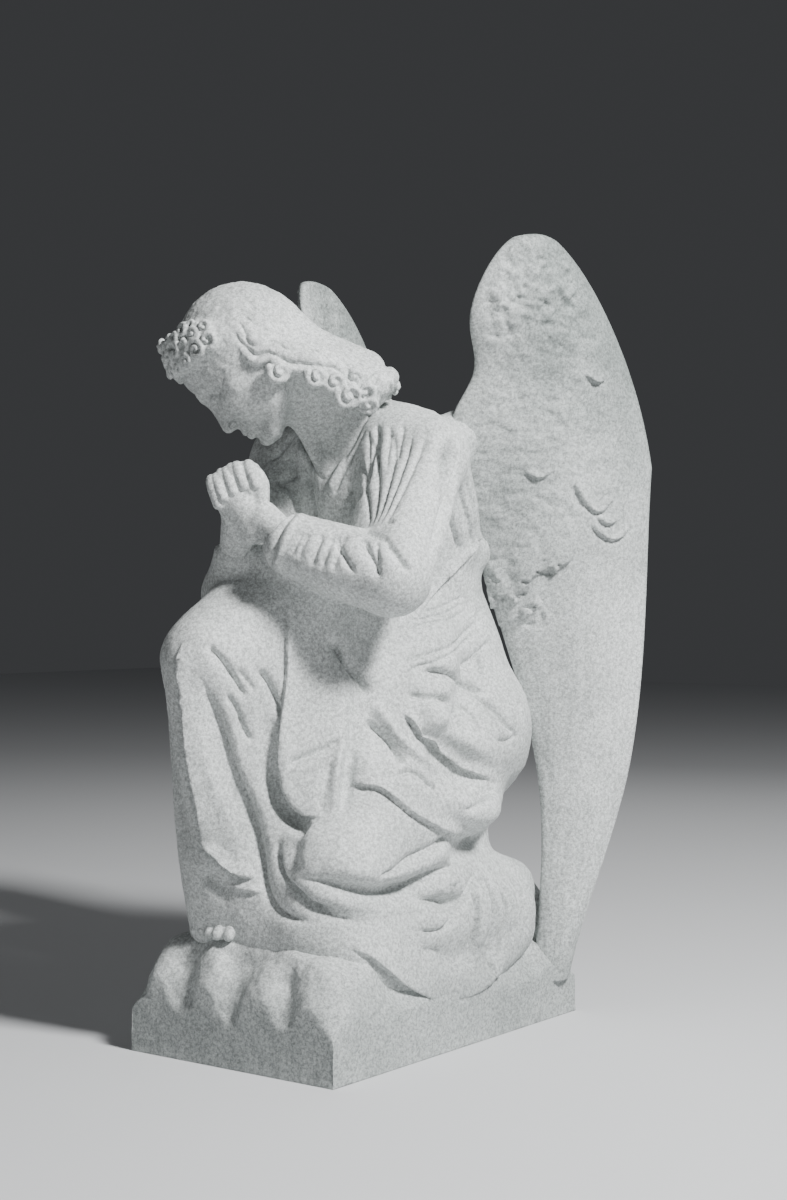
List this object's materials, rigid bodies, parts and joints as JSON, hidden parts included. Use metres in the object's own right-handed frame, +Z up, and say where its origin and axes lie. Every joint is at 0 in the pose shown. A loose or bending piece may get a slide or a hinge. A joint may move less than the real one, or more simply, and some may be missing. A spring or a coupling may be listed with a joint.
{
  "type": "kneeling angel cemetery statue",
  "caption": "Carved marble angel kneeling in prayer on a low rock base, with bowed head, clasped hands, draped robe and tall folded wings.",
  "frame": {"origin": "centre of the squared rock base at its flat underside", "axes": "+Z up, the figure faces -Y, its left side is +X"},
  "size_m": [0.6262, 0.7664, 1.2998],
  "materials": {
    "marble": "carved white marble, matt and slightly weathered, with fine sugary grain"
  },
  "bodies": {
    "root": {"angel": "marble"}
  },
  "joints": []
}
